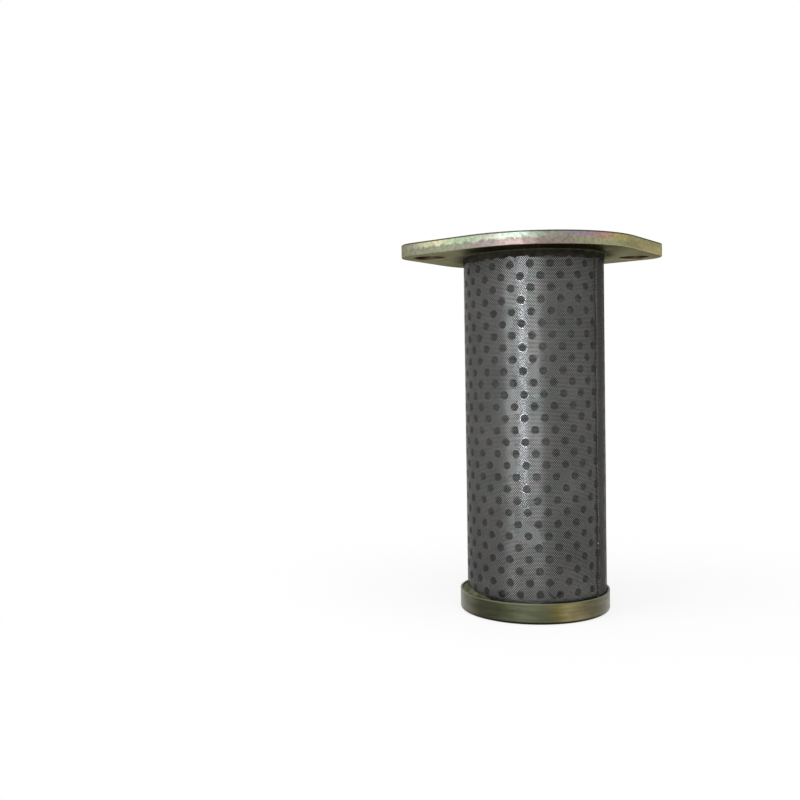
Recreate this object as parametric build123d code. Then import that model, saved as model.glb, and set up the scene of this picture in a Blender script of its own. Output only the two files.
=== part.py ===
from build123d import *
import os
from math import acos, cos, degrees, pi, radians, sin

# Suction strainer: a tube of perforated sheet in a woven wire sleeve, closed by a
# two-bolt mounting flange at one end and open through a pressed ring at the other.
# Millimetres. The origin is the middle of the bolt holes on the flange's underside,
# the flange's long axis is X, and the strainer stands on its end ring below it.

# Mounting flange
flange_thickness = 4.6
flange_body_d = 76.6
flange_tip_r = 10.0
bolt_spacing = 75.0
bolt_hole_d = 11.0
flange_edge_round = 0.4
bolt_hole_edge_break = 0.5

# Tube: woven sleeve outside, perforated core inside
sleeve_outer_d = 50.0
sleeve_thickness = 0.38
core_thickness = 1.0
ring_bottom_drop = 126.1

# Sleeve lap joint, in degrees round from +X
lap_edge_angle = -48.0
lap_width = 9.0
lap_ramp_width = 1.6

# Perforation, laid out on the flat sheet and then rolled
hole_d = 2.8
pitch_around = 6.76
pitch_down = 3.99
pattern_turn = 1.2
first_row_drop = 5.6
last_row_clearance = 8.0
seam_margin = 4.0
seam_angle = -39.2
seam_gap = 0.4

# Locating groove in the flange and how far the tube ends stand in it
groove_depth = 1.8
groove_outer_clearance = 0.8
groove_inner_clearance = 0.6
core_end_clearance = 0.5
sleeve_end_clearance = 0.8

# Pressed end ring, pushed off centre by its whole clearance as the photograph shows it
ring_wall = 0.6
ring_height = 7.2
ring_clearance = 0.8
ring_bottom_round = 1.0
lip_clearance = 2.0
lip_height = 5.0
lip_round = 1.5

# Potting that holds the lower tube end in the ring
potting_level = 5.2

core_outer_r = sleeve_outer_d / 2 - sleeve_thickness
core_inner_r = core_outer_r - core_thickness
sleeve_outer_r = sleeve_outer_d / 2
lap_outer_r = sleeve_outer_r + sleeve_thickness
ring_bottom_z = -ring_bottom_drop
channel_floor_z = ring_bottom_z + ring_wall
core_top_z = groove_depth - core_end_clearance
sleeve_top_z = groove_depth - sleeve_end_clearance
tube_foot_z = ring_bottom_z + ring_bottom_round
potting_top_z = ring_bottom_z + potting_level
groove_outer_r = lap_outer_r + groove_outer_clearance
groove_inner_r = core_inner_r - groove_inner_clearance
ring_channel_r = lap_outer_r + ring_clearance
ring_offset_x = -ring_clearance
outlet_r = core_inner_r - lip_clearance - ring_wall


def annulus(outer_r, inner_r, low_z, high_z):
    """Upright ring of rectangular section on the tube's axis."""
    face = Circle(outer_r) - Circle(inner_r)
    return extrude(Pos(0, 0, low_z) * face, high_z - low_z)


def on_circle(radius, angle):
    """Point on a circle round the tube's axis, angle in degrees from +X."""
    return (radius * cos(radians(angle)), radius * sin(radians(angle)))


def flange_outline():
    """Round body drawn out to two round tips over the bolt holes by tangent lines."""
    body_r = flange_body_d / 2
    tip_x = bolt_spacing / 2
    lean = acos((body_r - flange_tip_r) / tip_x)
    bx, by = body_r * cos(lean), body_r * sin(lean)
    tx, ty = tip_x + flange_tip_r * cos(lean), flange_tip_r * sin(lean)
    edges = [
        ThreePointArc((bx, by), (0, body_r), (-bx, by)),
        Line((-bx, by), (-tx, ty)),
        ThreePointArc((-tx, ty), (-tip_x - flange_tip_r, 0), (-tx, -ty)),
        Line((-tx, -ty), (-bx, -by)),
        ThreePointArc((-bx, -by), (0, -body_r), (bx, -by)),
        Line((bx, -by), (tx, -ty)),
        ThreePointArc((tx, -ty), (tip_x + flange_tip_r, 0), (tx, ty)),
        Line((tx, ty), (bx, by)),
    ]
    return make_face(Wire(edges))


def is_bolt_hole_rim(edge):
    return abs(edge.radius - bolt_hole_d / 2) < 0.001


def make_mounting_flange():
    plate = extrude(flange_outline(), flange_thickness)
    plate = fillet(plate.faces().sort_by(Axis.Z)[0].edges(), flange_edge_round)
    plate = fillet(plate.faces().sort_by(Axis.Z)[-1].edges(), flange_edge_round)
    plate -= annulus(groove_outer_r, groove_inner_r, 0, groove_depth)
    for side in (-1, 1):
        x = side * bolt_spacing / 2
        plate -= Pos(x, 0, flange_thickness / 2) * Cylinder(bolt_hole_d / 2, flange_thickness)
    rims = plate.edges().filter_by(GeomType.CIRCLE).filter_by(is_bolt_hole_rim)
    return chamfer(rims, bolt_hole_edge_break)


def hole_places():
    """Angle and height of each perforation, from the turned pattern on the flat sheet."""
    girth = 2 * pi * core_outer_r
    last_row_z = ring_bottom_z + last_row_clearance
    rows = int((last_row_z + first_row_drop) / -pitch_down) + 1
    turn = radians(pattern_turn)
    drift = (rows - 1) * pitch_down * sin(turn)
    columns = int((girth - 2 * seam_margin - drift - pitch_around / 2 + hole_d / 2) / pitch_around) + 1
    places = []
    for row in range(rows):
        stagger = pitch_around / 2 * (row % 2)
        for column in range(columns):
            along = column * pitch_around + stagger
            s = seam_margin + along * cos(turn) + row * pitch_down * sin(turn)
            rise = (along - girth / 2) * sin(turn)
            z = -first_row_drop + rise - row * pitch_down * cos(turn)
            places.append((seam_angle + degrees(s / core_outer_r), z))
    return places


def make_perforated_core():
    core = annulus(core_outer_r, core_inner_r, tube_foot_z, core_top_z)
    reach = 3 * core_thickness
    punch = Rot(0, 90, 0) * Cylinder(hole_d / 2, reach)
    middle_r = core_outer_r - core_thickness / 2
    punches = [Pos(0, 0, z) * Rot(0, 0, angle) * Pos(middle_r, 0, 0) * punch for angle, z in hole_places()]
    slit = Rot(0, 0, seam_angle) * Pos(middle_r, 0, (core_top_z + tube_foot_z) / 2)
    slit *= Box(reach, seam_gap, core_top_z - tube_foot_z + 2)
    return core.cut(slit, *punches)


def make_mesh_sleeve():
    """Wire cloth wrapped once round the core, its outer end lapped over the start."""
    lap_end_angle = lap_edge_angle + degrees(lap_width / sleeve_outer_r)
    ramp_end_angle = lap_end_angle + degrees(lap_ramp_width / sleeve_outer_r)
    middle_angle = (lap_edge_angle + lap_end_angle) / 2
    base_r = sleeve_outer_r - sleeve_thickness / 2
    edges = [
        Line(on_circle(base_r, lap_edge_angle), on_circle(lap_outer_r, lap_edge_angle)),
        ThreePointArc(
            on_circle(lap_outer_r, lap_edge_angle),
            on_circle(lap_outer_r, middle_angle),
            on_circle(lap_outer_r, lap_end_angle),
        ),
        Line(on_circle(lap_outer_r, lap_end_angle), on_circle(sleeve_outer_r, ramp_end_angle)),
        Line(on_circle(sleeve_outer_r, ramp_end_angle), on_circle(base_r, ramp_end_angle)),
        ThreePointArc(
            on_circle(base_r, ramp_end_angle),
            on_circle(base_r, middle_angle),
            on_circle(base_r, lap_edge_angle),
        ),
    ]
    lap = make_face(Wire(edges))
    length = sleeve_top_z - tube_foot_z
    sleeve = annulus(sleeve_outer_r, core_outer_r, tube_foot_z, sleeve_top_z)
    return sleeve + extrude(Pos(0, 0, tube_foot_z) * lap, length)


def bend(centre, radius, start_angle):
    """Quarter turn of the sheet round centre, from start_angle on by 90 degrees."""
    points = []
    for angle in (start_angle, start_angle + 45, start_angle + 90):
        dx, dz = on_circle(radius, angle)
        points.append((centre[0] + dx, centre[1] + dz))
    return ThreePointArc(*points)


def channel_section(skin, top_z):
    """Half section of the ring's channel up to top_z, grown outwards by skin."""
    outer_r = ring_channel_r + skin
    inner_r = outlet_r + ring_wall - skin
    floor_z = channel_floor_z - skin
    foot_r = ring_bottom_round - ring_wall + skin
    lip_r = lip_round - ring_wall + skin
    foot_centre = (outer_r - foot_r, floor_z + foot_r)
    lip_centre = (inner_r + lip_r, floor_z + lip_r)
    edges = [
        Line((inner_r, top_z), (inner_r, lip_centre[1])),
        bend(lip_centre, lip_r, 180),
        Line((lip_centre[0], floor_z), (foot_centre[0], floor_z)),
        bend(foot_centre, foot_r, 270),
        Line((outer_r, foot_centre[1]), (outer_r, top_z)),
        Line((outer_r, top_z), (inner_r, top_z)),
    ]
    return make_face(Wire(edges))


def turned(section):
    """Solid of revolution of an X-Z half section, moved to the ring's own axis."""
    return Pos(ring_offset_x, 0, 0) * revolve(Plane.XZ * section, Axis.Z)


def make_end_ring():
    """Pressed ring with a rounded foot and an inner lip round the outlet."""
    wall_top_z = ring_bottom_z + ring_height
    lip_top_z = ring_bottom_z + lip_height
    over_lip = Rectangle(2 * ring_wall, 2 * (wall_top_z - lip_top_z))
    section = channel_section(ring_wall, wall_top_z)
    section -= channel_section(0, wall_top_z + ring_wall)
    section -= Pos(outlet_r, lip_top_z + (wall_top_z - lip_top_z)) * over_lip
    return turned(section)


def make_ring_potting(sleeve):
    """Resin in the ring's channel round the foot of the tube."""
    potting = turned(channel_section(0, potting_top_z))
    potting -= annulus(core_outer_r, core_inner_r, tube_foot_z, potting_top_z)
    return potting - sleeve


def make_flange_bond(sleeve):
    """Resin in the flange's groove round the head of the tube."""
    bond = annulus(groove_outer_r, groove_inner_r, 0, groove_depth)
    bond -= annulus(core_outer_r, core_inner_r, 0, core_top_z)
    return bond - sleeve


mesh_sleeve = make_mesh_sleeve()
parts = {
    "mounting_flange": make_mounting_flange(),
    "perforated_core": make_perforated_core(),
    "mesh_sleeve": mesh_sleeve,
    "end_ring": make_end_ring(),
    "flange_bond": make_flange_bond(mesh_sleeve),
    "ring_potting": make_ring_potting(mesh_sleeve),
}

os.makedirs("parts", exist_ok=True)
for name, shape in parts.items():
    export_step(shape, f"parts/{name}.step")
    print(name, len(shape.solids()), "solid", round(shape.volume, 1), "mm3")
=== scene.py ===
from math import cos, degrees, pi, radians, sin

import bpy
from mathutils import Matrix, Vector, noise


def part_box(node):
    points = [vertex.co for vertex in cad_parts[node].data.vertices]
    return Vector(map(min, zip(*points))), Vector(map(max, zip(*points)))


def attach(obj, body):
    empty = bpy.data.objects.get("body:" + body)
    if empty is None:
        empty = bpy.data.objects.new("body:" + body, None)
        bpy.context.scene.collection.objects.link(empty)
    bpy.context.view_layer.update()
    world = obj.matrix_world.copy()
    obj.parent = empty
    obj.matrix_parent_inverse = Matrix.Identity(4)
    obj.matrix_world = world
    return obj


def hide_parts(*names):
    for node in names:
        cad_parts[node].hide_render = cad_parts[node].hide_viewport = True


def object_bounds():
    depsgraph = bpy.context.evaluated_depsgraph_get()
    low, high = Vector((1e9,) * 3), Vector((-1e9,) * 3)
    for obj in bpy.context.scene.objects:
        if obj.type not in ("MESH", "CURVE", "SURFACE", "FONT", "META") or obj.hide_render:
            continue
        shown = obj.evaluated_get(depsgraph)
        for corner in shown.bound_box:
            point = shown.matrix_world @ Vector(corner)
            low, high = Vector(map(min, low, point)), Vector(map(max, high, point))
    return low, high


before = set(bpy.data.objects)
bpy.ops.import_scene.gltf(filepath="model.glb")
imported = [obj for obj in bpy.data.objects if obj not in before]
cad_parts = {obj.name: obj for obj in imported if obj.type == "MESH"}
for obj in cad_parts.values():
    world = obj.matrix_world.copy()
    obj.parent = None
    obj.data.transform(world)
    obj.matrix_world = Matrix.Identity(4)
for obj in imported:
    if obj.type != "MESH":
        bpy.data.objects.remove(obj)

mm = 0.001
cadLow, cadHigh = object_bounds()
scene = bpy.context.scene
scene.view_settings.view_transform = "Standard"
print("frame loaded:", ", ".join(sorted(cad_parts)))


# Small helpers for node trees and meshes. Lengths in the dictionaries are millimetres and angles degrees,
# unless a note says otherwise, and a cloud is the scale, detail and roughness of a noise texture

cloudMiddle = (0.3, 0.7)  # the range in which nearly all of a noise's values lie


def metres(sizes):
    return [size * mm for size in sizes]


def newMaterial(name, **sockets):
    material = bpy.data.materials.new(name)
    material.use_nodes = True
    shader = material.node_tree.nodes["Principled BSDF"]
    for socket, value in sockets.items():
        shader.inputs[socket.replace("_", " ")].default_value = value
    return material, material.node_tree, shader


def feed(tree, shader, **sockets):
    for socket, value in sockets.items():
        tree.links.new(value, shader.inputs[socket.replace("_", " ")])


def addNode(tree, kind, inputs=None, **settings):
    node = tree.nodes.new("ShaderNode" + kind)
    for key, value in settings.items():
        setattr(node, key, value)
    for key, value in (inputs or {}).items():
        if isinstance(value, bpy.types.NodeSocket):
            tree.links.new(value, node.inputs[key])
        else:
            node.inputs[key].default_value = value
    return node


def doMath(tree, operation, *values):
    return addNode(tree, "Math", dict(enumerate(values)), operation=operation).outputs[0]


def doVector(tree, operation, inputs):
    return addNode(tree, "VectorMath", inputs, operation=operation).outputs[0]


def product(tree, *values):
    total = values[0]
    for value in values[1:]:
        total = doMath(tree, "MULTIPLY", total, value)
    return total


def lengthOf(tree, first, second):
    squares = doMath(tree, "ADD", product(tree, first, first), product(tree, second, second))
    return doMath(tree, "SQRT", squares)


def clamped(tree, value, low, high):
    return doMath(tree, "MINIMUM", doMath(tree, "MAXIMUM", value, low), high)


def fade(tree, value, low, high, outLow=0.0, outHigh=1.0):
    inputs = {"Value": value, "From Min": low, "From Max": high, "To Min": outLow, "To Max": outHigh}
    return addNode(tree, "MapRange", inputs, interpolation_type="SMOOTHSTEP").outputs[0]


def noiseAt(tree, vector, scale, detail=3.0, roughness=0.55):
    inputs = {"Vector": vector, "Scale": scale, "Detail": detail, "Roughness": roughness}
    return addNode(tree, "TexNoise", inputs).outputs["Fac"]


def swing(tree, cloud, width):  # a noise's value moved to both sides of zero
    return product(tree, doMath(tree, "SUBTRACT", cloud, 0.5), width)


def mixValue(tree, factor, first, second):
    return addNode(tree, "Mix", {0: factor, 2: first, 3: second}).outputs[0]


def mixColour(tree, factor, first, second, blend="MIX"):
    inputs = {0: factor, 6: first, 7: second}
    return addNode(tree, "Mix", inputs, data_type="RGBA", blend_type=blend).outputs[2]


def rampOf(tree, factor, stops):
    node = addNode(tree, "ValToRGB", {"Fac": factor})
    ramp = node.color_ramp
    while len(ramp.elements) < len(stops):
        ramp.elements.new(0.5)
    for element, (place, colour) in zip(ramp.elements, stops):
        element.position = place
        element.color = (*colour, 1.0)
    return node.outputs["Color"]


def objectPlace(tree, x=1.0, y=1.0, z=1.0):
    coordinates = addNode(tree, "TexCoord").outputs["Object"]
    return addNode(tree, "Mapping", {"Vector": coordinates, "Scale": (x, y, z)}).outputs[0]


def split(tree, vector):
    return addNode(tree, "SeparateXYZ", {0: vector}).outputs


def shaded(tree, colour, level):
    grey = addNode(tree, "CombineColor", {0: level, 1: level, 2: level}).outputs[0]
    return mixColour(tree, 1.0, colour, grey, "MULTIPLY")


def bumped(tree, height, depth):
    return addNode(tree, "Bump", {"Height": height, "Distance": depth * mm}).outputs[0]


def meshPiece(name, vertices, faces, material):
    mesh = bpy.data.meshes.new(name)
    mesh.from_pydata(vertices, [], faces)
    mesh.materials.append(material)
    mesh.polygons.foreach_set("use_smooth", [True] * len(mesh.polygons))
    piece = bpy.data.objects.new(name, mesh)
    scene.collection.objects.link(piece)
    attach(piece, "root")
    return piece


# Camera at the photo's viewing angle: off to the left of the tube's axis, a little above its middle

camera = {
    "place": (-86.06, -339.26, -40.49),
    "turn": 6.248,
    "dip": -1.635,
    "roll": -0.891,
    "lens": 43.17,
    "sensor": 36.0,
    "nearest": 10.0,
}


def makeCamera():
    data = bpy.data.cameras.new("photoCamera")
    data.lens = camera["lens"]
    data.sensor_width = camera["sensor"]
    data.clip_start = camera["nearest"] * mm
    cam = bpy.data.objects.new("photoCamera", data)
    scene.collection.objects.link(cam)
    cam.location = Vector(camera["place"]) * mm
    yaw = Matrix.Rotation(-radians(camera["turn"]), 3, "Z")
    pitch = Matrix.Rotation(pi / 2 + radians(camera["dip"]), 3, "X")
    roll = Matrix.Rotation(radians(camera["roll"]), 3, "Z")
    cam.rotation_euler = (yaw @ pitch @ roll).to_euler()
    scene.camera = cam


makeCamera()
print("camera set")


# Studio: white floor and backdrop, soft lamps, and one tall strip lamp that only gloss shows

studio = {
    "floorSize": 6000.0,
    "floorColour": (0.80, 0.80, 0.80, 1.0),
    "floorRoughness": 0.9,
    "footCentre": -0.8,
    "footInside": (22.0, 25.0),
    "shadowFade": (50.0, 190.0),
    "shadowShare": 0.80,  # the floor glows so much by itself near the foot, fully further out
    "worldLevel": 0.60,
    "darkSide": (0.77, 0.64, 0.05),  # the side of the room that gloss sees darker
    "darkSideEdges": (0.60, 0.90),
    "darkSideLevel": 0.52,
    "white": (1.0, 1.0, 1.0, 1.0),
    "aimHeight": -60.0,
}

lamps = {
    "strip": {
        "round": -121.5,
        "away": 230.0,
        "height": -42.0,
        "size": (36.0, 134.0),
        "power": 0.40,
        "colour": (0.88, 0.94, 1.0),
        "onlyGloss": True,
    },
    "left": {
        "round": -160.0,
        "away": 620.0,
        "height": 160.0,
        "size": (500.0, 500.0),
        "power": 3.0,
        "colour": (1.0, 1.0, 1.0),
        "onlyGloss": False,
    },
    "top": {
        "round": -80.0,
        "away": 300.0,
        "height": 700.0,
        "size": (600.0, 600.0),
        "power": 4.0,
        "colour": (1.0, 1.0, 1.0),
        "onlyGloss": False,
    },
}


def floorMaterial():
    roughness, colour = studio["floorRoughness"], studio["floorColour"]
    material, tree, shader = newMaterial("paleFloor", Roughness=roughness, Base_Color=colour)
    x, y, z = split(tree, objectPlace(tree))
    x = doMath(tree, "SUBTRACT", x, studio["footCentre"] * mm)
    away = lengthOf(tree, x, y)
    share = fade(tree, away, *metres(studio["shadowFade"]), studio["shadowShare"], 1.0)
    share = product(tree, share, fade(tree, away, *metres(studio["footInside"])))
    path = addNode(tree, "LightPath").outputs
    seen = doMath(tree, "MAXIMUM", path["Is Camera Ray"], path["Is Glossy Ray"])
    seen = doMath(tree, "MAXIMUM", seen, path["Is Transmission Ray"])
    glow = addNode(tree, "Emission", {"Color": studio["white"], "Strength": 1.0}).outputs[0]
    inputs = {0: product(tree, share, seen), 1: shader.outputs[0], 2: glow}
    both = addNode(tree, "MixShader", inputs).outputs[0]
    tree.links.new(both, tree.nodes["Material Output"].inputs["Surface"])
    return material


def makeWorld():
    world = bpy.data.worlds.new("paleRoom")
    world.use_nodes = True
    scene.world = world
    tree = world.node_tree
    path = addNode(tree, "LightPath").outputs
    around = addNode(tree, "TexCoord").outputs["Generated"]
    inputs = {0: around, 1: Vector(studio["darkSide"]).normalized()}
    side = addNode(tree, "VectorMath", inputs, operation="DOT_PRODUCT").outputs["Value"]
    gloss = fade(tree, side, *studio["darkSideEdges"], 1.0, studio["darkSideLevel"])
    level = mixValue(tree, path["Is Glossy Ray"], studio["worldLevel"], gloss)
    seen = doMath(tree, "MAXIMUM", path["Is Camera Ray"], path["Is Transmission Ray"])
    background = tree.nodes["Background"]
    background.inputs["Color"].default_value = studio["white"]
    feed(tree, background, Strength=mixValue(tree, seen, level, 1.0))


def makeLamp(name, lamp):
    data = bpy.data.lights.new(name, "AREA")
    data.shape = "RECTANGLE"
    data.size, data.size_y = metres(lamp["size"])
    data.energy = lamp["power"]
    data.color = lamp["colour"]
    light = bpy.data.objects.new(name, data)
    scene.collection.objects.link(light)
    angle = radians(lamp["round"])
    light.location = Vector((lamp["away"] * cos(angle), lamp["away"] * sin(angle), lamp["height"])) * mm
    aim = Vector((0, 0, studio["aimHeight"] * mm)) - light.location
    if lamp["onlyGloss"]:  # stands upright, so its reflection runs along the tube
        aim.z = 0
    light.rotation_euler = aim.to_track_quat("-Z", "Y").to_euler()
    light.visible_camera = False
    light.visible_diffuse = not lamp["onlyGloss"]
    light.visible_glossy = lamp["onlyGloss"]


def makeStudio():
    half = studio["floorSize"] / 2 * mm
    low = cadLow.z
    corners = [(-half, -half, low), (half, -half, low), (half, half, low), (-half, half, low)]
    mesh = bpy.data.meshes.new("floor")
    mesh.from_pydata(corners, [], [(0, 1, 2, 3)])
    mesh.materials.append(floorMaterial())
    ground = bpy.data.objects.new("floor", mesh)
    scene.collection.objects.link(ground)
    makeWorld()
    for name, lamp in lamps.items():
        makeLamp(name, lamp)


makeStudio()
print("studio set")


# Punched holes of the core. Its finish and the cloth's both ask how far a spot is from the nearest one

punching = {
    "coreRadius": 24.62,
    "holeRadius": 1.4,
    "pitchAround": 6.76,
    "pitchDown": 3.99,
    "patternTurn": 1.2,
    "firstRow": 5.6,
    "seamMargin": 4.0,
    "seamAngle": -39.2,
    "columns": 22,
    "rows": 29,
}


def holeDistance(tree):  # in millimetres, on the flat sheet
    turn = radians(punching["patternTurn"])
    girth = 2 * pi * punching["coreRadius"]
    seam = radians(punching["seamAngle"])
    pitchAround, pitchDown = punching["pitchAround"], punching["pitchDown"]
    x, y, z = split(tree, objectPlace(tree))
    angle = doMath(tree, "WRAP", doMath(tree, "ARCTAN2", y, x), seam + 2 * pi, seam)
    along = product(tree, doMath(tree, "SUBTRACT", angle, seam), punching["coreRadius"])
    along = doMath(tree, "SUBTRACT", along, punching["seamMargin"])
    drop = doMath(tree, "MULTIPLY_ADD", z, -1 / mm, -punching["firstRow"] - girth / 2 * sin(turn))
    column = doMath(tree, "SUBTRACT", product(tree, along, cos(turn)), product(tree, drop, sin(turn)))
    row = doMath(tree, "ADD", product(tree, along, sin(turn)), product(tree, drop, cos(turn)))
    row = doMath(tree, "DIVIDE", row, pitchDown)
    rowNumber = clamped(tree, doMath(tree, "ROUND", row), 0.0, punching["rows"] - 1)
    stagger = product(tree, doMath(tree, "MODULO", rowNumber, 2.0), 0.5)
    column = doMath(tree, "SUBTRACT", doMath(tree, "DIVIDE", column, pitchAround), stagger)
    columnNumber = clamped(tree, doMath(tree, "ROUND", column), 0.0, punching["columns"] - 1)
    sideways = product(tree, doMath(tree, "SUBTRACT", column, columnNumber), pitchAround)
    upright = product(tree, doMath(tree, "SUBTRACT", row, rowNumber), pitchDown)
    return lengthOf(tree, sideways, upright)


# Wire cloth: one strip of plain weave, wound once round the core and lapped over its own start

cloth = {
    "radius": 24.91,
    "wall": 0.14,
    "lapRise": 0.37,
    "lapEdge": -46.0,
    "lapStep": 0.45,  # share of the rise that the lap has at its very edge
    "lapBend": 3.0,
    "lapEnd": -27.4,
    "rampEnd": -23.7,
    "hiddenEnd": 329.0,
    "stepsRound": 380,
    "stepsDown": 40,
    "ripple": 0.035,
    "rippleRound": 1.2,
    "rippleLength": 18.0,
}

weave = {
    "pitchAround": 0.37,
    "pitchDown": 0.44,
    "wireThickness": 0.22,
    "wander": 0.10,
    "wanderCloud": (110.0, 1.0),
    "crimpSlope": 0.195,
    "levelCrimp": 1.8,  # the level wires bend so much sharper, up to the same slope
    "uprightTilt": 0.9,
    "levelTilt": 0.28,
    "heights": (0.0, 1.7),
    # Painted light and shade on the weave: the gaps between wires are darker and their crowns lighter, the
    # level wires lighter as painted sheen and the upright ones darker as painted shade
    "gapShadeCrownSheen": (0.10, 1.40),
    "levelWireSheen": 1.80,
    "uprightWireShade": 0.28,
    # painted shade: the cloth is darker towards the foot
    "footShadeHeights": (-120.0, -75.0),
    "footShadeTone": 0.85,
    "roughness": 0.30,
    "grazing": (0.50, 0.50, 0.50, 1.0),
    "wireCloud": (60.0, 4.0),
    "wires": (
        (0.32, (0.080, 0.081, 0.079)),
        (0.68, (0.112, 0.110, 0.106)),
    ),
    "stainCloud": (130.0, 2.0),
    "stains": (
        (0.36, (0.94, 1.00, 0.96)),
        (0.50, (1.00, 0.99, 0.97)),
        (0.64, (1.05, 0.99, 0.98)),
    ),
    "innerCover": 0.90,  # how much the inner wall hides, and how much in gloss
    "innerCoverInGloss": 0.35,
}

# Painted shade on the cloth over the punched holes, and a rougher finish there
overHoles = {
    "edge": (-0.07, 0.15),  # from the hole's radius
    "roughness": 0.62,
    "darkestAt": -115.0,
    "turnedShares": (0.75, 0.95),  # of the radius, measured towards the darkest holes
    "holeShadeTones": (0.80, 0.66),
}

# Creases are only painted: a V-shaped line of painted shade on the cloth, with no fold in its mesh
creases = {
    "places": (
        {"angle": -131.5, "height": -117.7, "halfWidth": 2.0, "lean": 0.75},
        {"angle": -90.0, "height": -117.5, "halfWidth": 1.9, "lean": 0.85},
    ),
    "line": (0.25, 0.60),
    "endFade": 0.5,
    "paintedLightAndShade": 0.35,
}


def creaseShadeMask(tree, uv, angle, height, halfWidth, lean):  # a shallow fold in the shape of a V
    parts = split(tree, uv)
    start = radians(angle + 360) * cloth["radius"]
    across = doMath(tree, "ABSOLUTE", doMath(tree, "MULTIPLY_ADD", parts[0], 1 / mm, -start))
    above = doMath(tree, "MULTIPLY_ADD", parts[1], 1 / mm, -height)
    line = doMath(tree, "ABSOLUTE", doMath(tree, "SUBTRACT", above, product(tree, across, lean)))
    line = fade(tree, line, *creases["line"], 1.0, 0.0)
    return product(tree, line, fade(tree, across, halfWidth, halfWidth + creases["endFade"], 1.0, 0.0))


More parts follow.
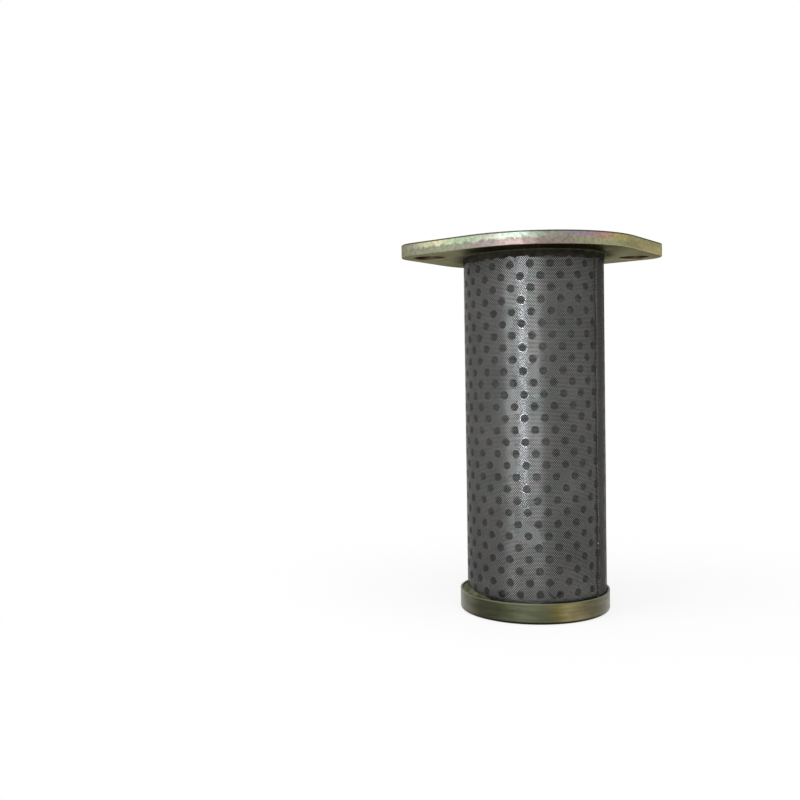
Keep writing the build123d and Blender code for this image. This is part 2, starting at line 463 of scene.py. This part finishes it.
def clothMaterial():
    roughness, grazing = weave["roughness"], weave["grazing"]
    sockets = {"Metallic": 1.0, "Roughness": roughness, "Specular_Tint": grazing}
    material, tree, shader = newMaterial("wireCloth", **sockets)
    uv = addNode(tree, "UVMap", uv_map="clothPlace").outputs[0]
    drift = swing(tree, noiseAt(tree, uv, *weave["wanderCloud"]), weave["wander"])
    place = split(tree, uv)
    across = doMath(tree, "ADD", doMath(tree, "DIVIDE", place[0], weave["pitchAround"] * mm), drift)
    down = doMath(tree, "SUBTRACT", doMath(tree, "DIVIDE", place[1], weave["pitchDown"] * mm), drift)

    def lane(value, pitch):  # number of the wire, and where across it from -1 to 1
        number = doMath(tree, "ROUND", value)
        half = weave["wireThickness"] / pitch / 2
        offset = doMath(tree, "DIVIDE", doMath(tree, "SUBTRACT", value, number), half)
        inside = doMath(tree, "LESS_THAN", doMath(tree, "ABSOLUTE", offset), 1.0)
        rest = doMath(tree, "SUBTRACT", 1.0, product(tree, offset, offset))
        crown = doMath(tree, "SQRT", doMath(tree, "MAXIMUM", rest, 0.0))
        return number, offset, inside, crown

    def wave(kind, along, number):
        return doMath(tree, kind, product(tree, doMath(tree, "ADD", along, number), pi))

    uprightNumber, uprightOffset, inUpright, uprightCrown = lane(across, weave["pitchAround"])
    levelNumber, levelOffset, inLevel, levelCrown = lane(down, weave["pitchDown"])
    uprightHeight = doMath(tree, "ADD", uprightCrown, wave("COSINE", down, uprightNumber))
    levelHeight = doMath(tree, "SUBTRACT", levelCrown, wave("COSINE", across, levelNumber))
    uprightHigher = doMath(tree, "GREATER_THAN", uprightHeight, levelHeight)
    free = doMath(tree, "MAXIMUM", uprightHigher, doMath(tree, "SUBTRACT", 1.0, inLevel))
    onUpright = product(tree, inUpright, free)

    slope = weave["crimpSlope"]
    uprightTip = product(tree, wave("SINE", down, uprightNumber), slope)
    levelTip = product(tree, wave("SINE", across, levelNumber), -weave["levelCrimp"] * slope)
    levelTip = clamped(tree, levelTip, -slope, slope)
    surface = addNode(tree, "NewGeometry").outputs
    facing = surface["Normal"]
    sideways = doVector(tree, "CROSS_PRODUCT", {0: (0, 0, 1), 1: facing})

    def tilted(side, up, out):
        first = doVector(tree, "SCALE", {0: sideways, "Scale": side})
        second = doVector(tree, "SCALE", {0: facing, "Scale": out})
        third = addNode(tree, "CombineXYZ", {2: up}).outputs[0]
        return doVector(tree, "ADD", {0: doVector(tree, "ADD", {0: first, 1: second}), 1: third})

    uprightNormal = tilted(product(tree, uprightOffset, weave["uprightTilt"]), uprightTip, uprightCrown)
    levelNormal = tilted(levelTip, product(tree, levelOffset, weave["levelTilt"]), 1.0)
    inputs = {0: onUpright, 4: levelNormal, 5: uprightNormal}
    choice = addNode(tree, "Mix", inputs, data_type="VECTOR").outputs[1]
    normal = doVector(tree, "NORMALIZE", {0: choice})

    upright = product(tree, uprightHeight, inUpright)
    highest = doMath(tree, "MAXIMUM", upright, product(tree, levelHeight, inLevel))
    # Painted shade between the wires, and painted highlight on their crowns and on the level wires
    paintedLightAndShade = fade(tree, highest, *weave["heights"], *weave["gapShadeCrownSheen"])
    paintedLightAndShade = product(tree, paintedLightAndShade, fade(tree, onUpright, 0.0, 1.0, weave["levelWireSheen"], weave["uprightWireShade"]))
    x, y, z = split(tree, objectPlace(tree))
    # Painted shade, darker towards the foot
    paintedLightAndShade = product(tree, paintedLightAndShade, fade(tree, z, *metres(weave["footShadeHeights"]), weave["footShadeTone"], 1.0))

    # Painted shade over each punched hole: no sheet lies behind the cloth there, so its colour is darker,
    # most of all on the side that the strip lamp lights
    darkest = radians(overHoles["darkestAt"])
    turned = doMath(tree, "ADD", product(tree, x, cos(darkest)), product(tree, y, sin(darkest)))
    ends = [share * cloth["radius"] for share in overHoles["turnedShares"]]
    inHole = fade(tree, turned, *metres(ends), *overHoles["holeShadeTones"])
    fromHole = holeDistance(tree)
    edge = [punching["holeRadius"] + step for step in overHoles["edge"]]
    paintedLightAndShade = product(tree, paintedLightAndShade, fade(tree, fromHole, *edge, inHole, 1.0))
    finish = fade(tree, fromHole, *edge, overHoles["roughness"], roughness)
    # Painted shade along each crease
    for crease in creases["places"]:
        mask = creaseShadeMask(tree, uv, **crease)
        paintedLightAndShade = product(tree, paintedLightAndShade, fade(tree, mask, 0.0, 1.0, 1.0, creases["paintedLightAndShade"]))
    wires = rampOf(tree, noiseAt(tree, uv, *weave["wireCloud"]), weave["wires"])
    stains = rampOf(tree, noiseAt(tree, uv, *weave["stainCloud"]), weave["stains"])
    colour = shaded(tree, mixColour(tree, 1.0, wires, stains, "MULTIPLY"), paintedLightAndShade)

    # The outer wall is open between its wires. The inner wall shows from inside the tube only
    outer = doMath(tree, "GREATER_THAN", lengthOf(tree, x, y), (cloth["radius"] - cloth["wall"] / 2) * mm)
    gloss = addNode(tree, "LightPath").outputs["Is Glossy Ray"]
    innerCover = mixValue(tree, gloss, weave["innerCover"], weave["innerCoverInGloss"])
    cover = mixValue(tree, outer, innerCover, doMath(tree, "MAXIMUM", inUpright, inLevel))
    front = doMath(tree, "SUBTRACT", 1.0, surface["Backfacing"])
    alpha = product(tree, cover, front)
    feed(tree, shader, Base_Color=colour, Roughness=finish, Normal=normal, Alpha=alpha)
    return material


def clothRadius(angle):
    if angle <= cloth["lapEnd"]:
        bend = min(1.0, (angle - cloth["lapEdge"]) / cloth["lapBend"])
        step = cloth["lapStep"]
        return cloth["radius"] + cloth["lapRise"] * (step + (1 - step) * sin(pi / 2 * bend))
    if angle < cloth["rampEnd"]:
        share = (angle - cloth["lapEnd"]) / (cloth["rampEnd"] - cloth["lapEnd"])
        return cloth["radius"] + cloth["lapRise"] * (1 + cos(pi * share)) / 2
    return cloth["radius"]


def makeCloth():
    low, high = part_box("mesh_sleeve")
    columns, rows = cloth["stepsRound"], cloth["stepsDown"]
    stretch = cloth["rippleRound"]
    vertices, places, faces = [], [], []
    for i in range(columns + 1):
        angle = cloth["lapEdge"] + (cloth["hiddenEnd"] - cloth["lapEdge"]) * i / columns
        x, y = cos(radians(angle)), sin(radians(angle))
        for j in range(rows + 1):
            z = low.z + (high.z - low.z) * j / rows
            spot = Vector((x * stretch, y * stretch, z / mm / cloth["rippleLength"]))
            radius = clothRadius(angle) + cloth["ripple"] * noise.noise(spot)
            for wall in (0, -cloth["wall"]):
                r = (radius + wall) * mm
                vertices.append((r * x, r * y, z))
                places.append((radians(angle) * cloth["radius"] * mm, z))

    def quad(*corners):  # each corner: column, row, and 0 for the outer or 1 for the inner wall
        faces.append([(i * (rows + 1) + j) * 2 + wall for i, j, wall in corners])

    for i in range(columns):
        for j in range(rows):
            quad((i, j, 0), (i + 1, j, 0), (i + 1, j + 1, 0), (i, j + 1, 0))
            quad((i, j, 1), (i, j + 1, 1), (i + 1, j + 1, 1), (i + 1, j, 1))
        quad((i, 0, 0), (i, 0, 1), (i + 1, 0, 1), (i + 1, 0, 0))
        quad((i, rows, 0), (i + 1, rows, 0), (i + 1, rows, 1), (i, rows, 1))
    for j in range(rows):
        quad((0, j, 0), (0, j + 1, 0), (0, j + 1, 1), (0, j, 1))
        quad((columns, j, 0), (columns, j, 1), (columns, j + 1, 1), (columns, j + 1, 0))
    piece = meshPiece("wireCloth", vertices, faces, clothMaterial())
    layer = piece.data.uv_layers.new(name="clothPlace")
    for loop in piece.data.loops:
        layer.data[loop.index].uv = places[loop.vertex_index]
    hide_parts("mesh_sleeve")


makeCloth()
print("wire cloth wound")


# Cut wire ends along the lap's outer edge, repeated by a node tree

wireEnds = {
    "spacing": 0.89,
    "length": 0.75,
    "radius": 0.13,
    "sides": 8,
    "sunk": 0.06,
    "aboveFoot": 7.5,
    "belowFlange": 2.2,
    "tilts": ((-0.25, pi / 2 - 0.15, -0.30), (0.25, pi / 2 + 0.15, 0.10)),  # radians
    "scales": ((0.7, 0.7, 0.45), (1.1, 1.1, 1.25)),
    "seed": 4,
    "roughness": 0.35,
    "cloud": (900.0, 2.0),
    "colours": (
        (0.35, (0.12, 0.095, 0.080)),
        (0.65, (0.24, 0.20, 0.17)),
    ),
}


def wireEndsTree():
    tree = bpy.data.node_groups.new("wireEnds", "GeometryNodeTree")
    face = tree.interface
    face.new_socket("Geometry", in_out="OUTPUT", socket_type="NodeSocketGeometry")
    kinds = {"Count": "Int", "Spacing": "Float", "Length": "Float", "Radius": "Float", "Wire": "Material"}
    sockets = {}
    for name, kind in kinds.items():
        sockets[name] = face.new_socket(name, in_out="INPUT", socket_type="NodeSocket" + kind).identifier

    def node(kind, **settings):
        made = tree.nodes.new(kind)
        for key, value in settings.items():
            setattr(made, key, value)
        return made

    def randomBetween(ends, seed):
        made = node("FunctionNodeRandomValue", data_type="FLOAT_VECTOR")
        made.inputs[0].default_value, made.inputs[1].default_value = ends
        made.inputs["Seed"].default_value = seed
        return made

    start = node("NodeGroupInput")
    line = node("GeometryNodeMeshLine")
    step = node("ShaderNodeCombineXYZ")
    stub = node("GeometryNodeMeshCylinder")
    placed = node("GeometryNodeInstanceOnPoints")
    tilt = randomBetween(wireEnds["tilts"], wireEnds["seed"])
    size = randomBetween(wireEnds["scales"], wireEnds["seed"] + 1)
    real = node("GeometryNodeRealizeInstances")
    dressed = node("GeometryNodeSetMaterial")
    finish = node("NodeGroupOutput")
    link = tree.links.new
    link(start.outputs["Count"], line.inputs["Count"])
    link(start.outputs["Spacing"], step.inputs["Z"])
    link(step.outputs[0], line.inputs["Offset"])
    stub.inputs["Vertices"].default_value = wireEnds["sides"]
    link(start.outputs["Radius"], stub.inputs["Radius"])
    link(start.outputs["Length"], stub.inputs["Depth"])
    link(line.outputs[0], placed.inputs["Points"])
    link(stub.outputs["Mesh"], placed.inputs["Instance"])
    link(tilt.outputs[0], placed.inputs["Rotation"])
    link(size.outputs[0], placed.inputs["Scale"])
    link(placed.outputs[0], real.inputs[0])
    link(real.outputs[0], dressed.inputs["Geometry"])
    link(start.outputs["Wire"], dressed.inputs["Material"])
    link(dressed.outputs[0], finish.inputs[0])
    return tree, sockets


def wireEndMaterial():
    material, tree, shader = newMaterial("cutWire", Metallic=1.0, Roughness=wireEnds["roughness"])
    grain = noiseAt(tree, objectPlace(tree), *wireEnds["cloud"])
    feed(tree, shader, Base_Color=rampOf(tree, grain, wireEnds["colours"]))
    return material


def makeWireEnds():
    low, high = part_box("mesh_sleeve")
    bottom = low.z + wireEnds["aboveFoot"] * mm
    top = -wireEnds["belowFlange"] * mm
    tree, sockets = wireEndsTree()
    mesh = bpy.data.meshes.new("wireEndsStart")
    holder = bpy.data.objects.new("wireEndsStart", mesh)
    scene.collection.objects.link(holder)
    modifier = holder.modifiers.new("wireEnds", "NODES")
    modifier.node_group = tree
    modifier[sockets["Count"]] = int((top - bottom) / (wireEnds["spacing"] * mm))
    modifier[sockets["Spacing"]] = wireEnds["spacing"] * mm
    modifier[sockets["Length"]] = wireEnds["length"] * mm
    modifier[sockets["Radius"]] = wireEnds["radius"] * mm
    modifier[sockets["Wire"]] = wireEndMaterial()
    evaluated = holder.evaluated_get(bpy.context.evaluated_depsgraph_get())
    made = bpy.data.meshes.new_from_object(evaluated)
    holder.modifiers.remove(modifier)
    bpy.data.objects.remove(holder)
    edge = radians(cloth["lapEdge"])
    radius = (clothRadius(cloth["lapEdge"]) - wireEnds["sunk"]) * mm
    turn = Matrix.Rotation(edge + pi / 2, 4, "Z")
    shift = Matrix.Translation((radius * cos(edge), radius * sin(edge), bottom))
    made.transform(shift @ turn)
    made.name = "lapWireEnds"
    piece = bpy.data.objects.new("lapWireEnds", made)
    scene.collection.objects.link(piece)
    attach(piece, "root")


makeWireEnds()
print("lap edge frayed")


# Perforated core: dull rolled sheet that shows through the cloth, with a painted highlight round each
# punched hole and painted shade on its inside

core = {
    "patchCloud": (90.0, 3.0),
    "outside": (
        (0.3, (0.15, 0.15, 0.152)),
        (0.7, (0.21, 0.21, 0.213)),
    ),
    # painted highlight: a paler ring round each hole, where the punched edge rolls over
    "rimHighlight": (0.30, 0.30, 0.30, 1.0),
    "rimRise": (-0.02, 0.04),  # from the hole's radius
    "rimFall": (0.22, 0.42),
    # painted shade: the tube's inside is coloured near black
    "inside": (0.045, 0.043, 0.038, 1.0),
    "insideRadius": (24.0, 24.4),
    "roughness": (0.20, 0.30),
    "grainCloud": (1500.0, 2.0),
    "grainDepth": 0.02,
}


def coreMaterial():
    material, tree, shader = newMaterial("coreSteel", Metallic=1.0)
    place = objectPlace(tree)
    patch = noiseAt(tree, place, *core["patchCloud"])
    fromHole = doMath(tree, "SUBTRACT", holeDistance(tree), punching["holeRadius"])
    # Painted highlight in a ring round each punched hole
    rim = fade(tree, fromHole, *core["rimRise"])
    rim = product(tree, rim, fade(tree, fromHole, *core["rimFall"], 1.0, 0.0))
    outside = mixColour(tree, rim, rampOf(tree, patch, core["outside"]), core["rimHighlight"])
    x, y, z = split(tree, place)
    # Painted shade: the inside of the core is darker than its outside
    outward = fade(tree, lengthOf(tree, x, y), *metres(core["insideRadius"]))
    colour = mixColour(tree, outward, core["inside"], outside)
    finish = fade(tree, patch, *cloudMiddle, *core["roughness"])
    grain = bumped(tree, noiseAt(tree, place, *core["grainCloud"]), core["grainDepth"])
    feed(tree, shader, Base_Color=colour, Roughness=finish, Normal=grain)
    return material


# Chromated zinc of the flange, with the film's colours along the sheared edge

flange = {
    "length": 95.0,
    "upper": (  # colours from the left tip to the right one, on the upper part of the edge
        (0.02, (0.33, 0.32, 0.24)),
        (0.10, (0.78, 0.75, 0.48)),
        (0.17, (0.52, 0.68, 0.46)),
        (0.25, (0.50, 0.52, 0.40)),
        (0.34, (0.29, 0.35, 0.27)),
        (0.46, (0.27, 0.285, 0.22)),
        (0.58, (0.31, 0.25, 0.29)),
        (0.67, (0.47, 0.29, 0.22)),
        (0.72, (0.47, 0.40, 0.16)),
        (0.82, (0.58, 0.53, 0.28)),
    ),
    "lower": (
        (0.02, (0.29, 0.29, 0.20)),
        (0.15, (0.38, 0.40, 0.28)),
        (0.23, (0.36, 0.30, 0.28)),
        (0.34, (0.20, 0.138, 0.128)),
        (0.52, (0.28, 0.24, 0.19)),
        (0.68, (0.35, 0.36, 0.20)),
        (0.78, (0.42, 0.40, 0.22)),
        (0.88, (0.62, 0.54, 0.31)),
    ),
    # the underside: olive chromate at the tips, with painted shade darkening it towards the tube
    "underTintAndShade": ((0.026, 0.023, 0.014, 1.0), (0.135, 0.133, 0.090, 1.0)),
    "top": (
        (0.3, (0.20, 0.195, 0.115)),
        (0.7, (0.34, 0.32, 0.17)),
    ),
    "grazing": (0.54, 0.52, 0.38, 1.0),
    "holeBrown": (0.075, 0.045, 0.028, 1.0),
    "topEdgeDark": (0.085, 0.08, 0.07, 1.0),
    "cloudStretch": (1, 1, 4),
    "cloud": (70.0, 4.0, 0.65),
    "speckCloud": (900.0, 3.0, 0.7),
    "speckRange": (0.30, 0.66),
    "speckTones": (0.72, 1.08),
    "wander": 0.12,
    "borderHeights": (2.0, 2.7),
    "borderCloud": (380.0, 3.0),
    "borderSwings": (2.8, 1.2),
    "flatSlopes": (0.6, 0.9),
    "outward": (27.0, 36.0),  # where the underside turns from dark to pale
    "outwardSwing": 12.0,
    "holeAt": 37.5,
    "holeWall": (5.6, 6.1),
    "topEdgeDarkHeights": (3.95, 4.2),
    # painted shade on the underside round the tube
    "nearTubeShadeRadius": (31.0, 36.0),
    "nearTubeShadeSwing": 10.0,
    "nearTubeShadeCover": 0.93,
    "roughness": (0.34, 0.5),
    "dentCloud": (420.0, 4.0, 0.7),
    "dentDepth": 0.12,
    "speckShare": 0.4,
}


def flangeMaterial():
    grazing = flange["grazing"]
    material, tree, shader = newMaterial("yellowZincPlate", Specular_IOR_Level=0.0, Specular_Tint=grazing)
    place = objectPlace(tree)
    x, y, z = split(tree, place)
    cloud = noiseAt(tree, objectPlace(tree, *flange["cloudStretch"]), *flange["cloud"])
    speck = noiseAt(tree, place, *flange["speckCloud"])
    along = doMath(tree, "MULTIPLY_ADD", x, 1 / (flange["length"] * mm), 0.5)
    along = doMath(tree, "ADD", along, swing(tree, cloud, flange["wander"]))
    upper = rampOf(tree, along, flange["upper"])
    lower = rampOf(tree, along, flange["lower"])
    coarse, fine = metres(flange["borderSwings"])
    border = swing(tree, noiseAt(tree, place, *flange["borderCloud"]), coarse)
    border = doMath(tree, "ADD", doMath(tree, "ADD", z, border), swing(tree, speck, fine))
    side = mixColour(tree, fade(tree, border, *metres(flange["borderHeights"])), lower, upper)
    side = shaded(tree, side, fade(tree, speck, *flange["speckRange"], *flange["speckTones"]))

    normal = split(tree, addNode(tree, "NewGeometry").outputs["True Normal"])
    flatness = fade(tree, doMath(tree, "ABSOLUTE", normal[2]), *flange["flatSlopes"])
    upward = fade(tree, normal[2], -0.5, 0.5)
    fromMiddle = doMath(tree, "ABSOLUTE", x)
    outward = doMath(tree, "ADD", fromMiddle, product(tree, cloud, flange["outwardSwing"] * mm))
    outward = fade(tree, outward, *metres(flange["outward"]))
    # Painted shade on the flat faces below: the underside darker than the top, darkest near the tube
    underTintAndShade = mixColour(tree, outward, *flange["underTintAndShade"])
    flat = mixColour(tree, upward, underTintAndShade, rampOf(tree, cloud, flange["top"]))
    fromHole = lengthOf(tree, doMath(tree, "SUBTRACT", fromMiddle, flange["holeAt"] * mm), y)
    inHole = fade(tree, fromHole, *metres(flange["holeWall"]), 1.0, 0.0)
    side = mixColour(tree, inHole, side, flange["holeBrown"])
    # Darker along the top of the sheared edge
    topEdgeDark = fade(tree, z, *metres(flange["topEdgeDarkHeights"]))
    topEdgeDark = product(tree, topEdgeDark, doMath(tree, "SUBTRACT", 1.0, flatness))
    colour = mixColour(tree, topEdgeDark, mixColour(tree, flatness, side, flat), flange["topEdgeDark"])

    # Painted shade round the tube: there the underside loses its metal and shows only its near black
    # colour
    nearTubeShade = doMath(tree, "ADD", lengthOf(tree, x, y), product(tree, cloud, flange["nearTubeShadeSwing"] * mm))
    nearTubeShade = fade(tree, nearTubeShade, *metres(flange["nearTubeShadeRadius"]), 1.0, 0.0)
    nearTubeShade = product(tree, nearTubeShade, flatness, doMath(tree, "SUBTRACT", 1.0, upward))
    metal = doMath(tree, "SUBTRACT", 1.0, product(tree, nearTubeShade, flange["nearTubeShadeCover"]))
    finish = fade(tree, cloud, *cloudMiddle, *flange["roughness"])
    dents = noiseAt(tree, place, *flange["dentCloud"])
    dents = doMath(tree, "ADD", dents, product(tree, speck, flange["speckShare"]))
    dents = bumped(tree, dents, flange["dentDepth"])
    feed(tree, shader, Base_Color=colour, Metallic=metal, Roughness=finish, Normal=dents)
    return material


# Olive chromate of the pressed ring, its colours set round the tube's axis

ring = {
    "round": (
        (0.02, (0.095, 0.090, 0.054)),
        (0.09, (0.048, 0.049, 0.029)),
        (0.19, (0.057, 0.058, 0.034)),
        (0.28, (0.094, 0.100, 0.060)),
        (0.40, (0.102, 0.107, 0.064)),
        (0.46, (0.150, 0.130, 0.046)),
        (0.52, (0.26, 0.22, 0.10)),
        (0.58, (0.18, 0.153, 0.083)),
        (0.64, (0.115, 0.105, 0.056)),
        (0.92, (0.13, 0.128, 0.083)),
    ),
    "start": -165.0,
    "span": 165.0,
    "wander": 0.16,
    "cloudStretch": (1, 1, 2.5),
    "cloud": (110.0, 4.0, 0.6),
    "wipeStretch": (1, 1, 9),
    "wipeCloud": (60.0, 3.0),
    "wipeTones": (0.78, 1.15),
    "rim": (0.16, 0.17, 0.10, 1.0),
    "rimDepths": (0.55, 0.25),
    "foot": (0.014, 0.013, 0.008, 1.0),
    "footShadeHeights": (0.75, 1.15),
    "roughness": (0.26, 0.40),
    "dentCloud": (500.0, 3.0),
    "dentDepth": 0.05,
}


def ringMaterial():
    material, tree, shader = newMaterial("oliveZincSheet", Metallic=1.0)
    place = objectPlace(tree)
    x, y, z = split(tree, place)
    cloud = noiseAt(tree, objectPlace(tree, *ring["cloudStretch"]), *ring["cloud"])
    angle = doMath(tree, "ARCTAN2", y, x)
    share = doMath(tree, "MULTIPLY_ADD", angle, degrees(1) / ring["span"], -ring["start"] / ring["span"])
    share = doMath(tree, "ADD", share, swing(tree, cloud, ring["wander"]))
    wipe = noiseAt(tree, objectPlace(tree, *ring["wipeStretch"]), *ring["wipeCloud"])
    wipe = fade(tree, wipe, *cloudMiddle, *ring["wipeTones"])
    colour = shaded(tree, rampOf(tree, share, ring["round"]), wipe)
    low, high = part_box("end_ring")
    rim = fade(tree, z, *[high.z - depth * mm for depth in ring["rimDepths"]])
    colour = mixColour(tree, rim, colour, ring["rim"])
    foot = fade(tree, z, *[low.z + height * mm for height in ring["footShadeHeights"]], 1.0, 0.0)
    colour = mixColour(tree, foot, colour, ring["foot"])
    finish = fade(tree, cloud, *cloudMiddle, *ring["roughness"])
    dents = bumped(tree, noiseAt(tree, place, *ring["dentCloud"]), ring["dentDepth"])
    feed(tree, shader, Base_Color=colour, Roughness=finish, Normal=dents)
    return material


# Resin, and the beads of it that stand proud where the tube meets the flange and the ring

resin = {
    # near black resin, so dark that on the beads and the potting it also stands as painted shade in the
    # joints
    "set": (
        (0.3, (0.014, 0.013, 0.010)),
        (0.7, (0.040, 0.036, 0.028)),
    ),
    "spilt": (
        (0.3, (0.040, 0.041, 0.022)),
        (0.7, (0.12, 0.125, 0.075)),
    ),
    "roughness": 0.5,
    "cloud": (420.0, 4.0),
    "lumpDepth": 0.2,
}

beads = {
    "steps": 240,
    "sunk": 0.10,  # a bead's inner side lies so deep in the cloth
}

flangeBead = {
    "drop": (1.7, 2.8),
    "lumps": ((3.0, 1.0), (14.0, 5.0)),  # scale and seed
    "lumpShare": 0.6,
    "reach": 0.28,
    "root": 0.3,
    "lip": 0.08,
    "shoulder": (0.20, 0.55),  # out from the cloth, and share of the drop
    "toe": (0.12, 0.05),
}

ringBead = {
    "centre": -0.8,
    "inside": 26.18,
    "lump": (9.0, 3.0),
    "climb": {"level": -1.6, "left": 2.9, "right": 3.2, "lump": 0.9},
    "rimward": {"level": -1.5, "left": 1.35, "lump": 0.4},
    "leftSharpness": 3,
    "rightTurn": 30.0,
    "rightSharpness": 14,
    "base": -2.2,
    "reach": 0.28,
    "lip": 0.1,
    "hollow": 0.15,
    "underRim": 0.15,
    "play": 0.03,
}


def resinMaterial(name, colours):
    material, tree, shader = newMaterial(name, Roughness=resin["roughness"], Specular_IOR_Level=0.0)
    cloud = noiseAt(tree, objectPlace(tree), *resin["cloud"])
    lumps = bumped(tree, cloud, resin["lumpDepth"])
    feed(tree, shader, Base_Color=rampOf(tree, cloud, colours), Normal=lumps)
    return material


def roundBead(name, sectionAt, material):
    vertices, faces = [], []
    count = beads["steps"]
    for i in range(count):
        angle = 2 * pi * i / count
        section = sectionAt(angle)
        for radius, z in section:
            vertices.append((radius * cos(angle) * mm, radius * sin(angle) * mm, z * mm))
    size = len(section)
    for i in range(count):
        here, there = i * size, (i + 1) % count * size
        for k in range(size):
            following = (k + 1) % size
            faces.append((here + k, there + k, there + following, here + following))
    return meshPiece(name, vertices, faces, material)


def uneven(angle, scale, seed):
    return noise.noise(Vector((cos(angle) * scale, sin(angle) * scale, seed)))


def flangeBeadSection(angle):
    low, high = flangeBead["drop"]
    lumps = sum(uneven(angle, *lump) for lump in flangeBead["lumps"])
    drop = (low + high) / 2 + (high - low) * flangeBead["lumpShare"] * lumps
    inner = cloth["radius"] - beads["sunk"]
    surface = clothRadius((degrees(angle) - cloth["lapEdge"]) % 360 + cloth["lapEdge"])
    outer = surface + flangeBead["reach"]
    toeOut, toeUp = flangeBead["toe"]
    shoulderOut, shoulderShare = flangeBead["shoulder"]
    return [
        (inner, flangeBead["root"]),
        (inner, -drop),
        (surface + toeOut, -drop + toeUp),
        (surface + shoulderOut, -drop * shoulderShare),
        (outer, -flangeBead["lip"]),
        (outer, flangeBead["root"]),
    ]


def ringInsideAt(angle):  # the ring stands off the tube's axis
    centre, radius = ringBead["centre"], ringBead["inside"]
    return centre * cos(angle) + (radius ** 2 - (centre * sin(angle)) ** 2) ** 0.5


def ringBeadSection(angle):  # the resin climbs highest at the tube's left side and near the lap
    low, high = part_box("end_ring")
    top = high.z / mm
    left = max(0.0, -cos(angle)) ** ringBead["leftSharpness"]
    right = max(0.0, cos(angle + radians(ringBead["rightTurn"]))) ** ringBead["rightSharpness"]
    lump = uneven(angle, *ringBead["lump"])
    climbs, rims = ringBead["climb"], ringBead["rimward"]
    climb = top + climbs["level"] + climbs["left"] * left + climbs["right"] * right + climbs["lump"] * lump
    rimward = top + rims["level"] + rims["left"] * left + rims["lump"] * lump
    inner = cloth["radius"] - beads["sunk"]
    outer = ringInsideAt(angle) - ringBead["play"]
    middle = (inner + outer) / 2
    base = top + ringBead["base"]
    return [
        (inner, base),
        (inner, climb),
        (min(inner + ringBead["reach"], middle), climb - ringBead["lip"]),
        (middle, (climb + rimward) / 2 - ringBead["hollow"]),
        (outer, min(rimward, top - ringBead["underRim"])),
        (outer, base),
    ]


def dress(node, material):
    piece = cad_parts[node]
    piece.data.materials.clear()
    piece.data.materials.append(material)


resinAndJointShade = resinMaterial("resinAndJointShade", resin["set"])
spiltResin = resinMaterial("spiltResin", resin["spilt"])
roundBead("flangeResinBead", flangeBeadSection, resinAndJointShade)
roundBead("ringResinBead", ringBeadSection, spiltResin)
dress("perforated_core", coreMaterial())
dress("mounting_flange", flangeMaterial())
dress("end_ring", ringMaterial())
dress("flange_bond", spiltResin)
dress("ring_potting", resinAndJointShade)
print("finishes on")
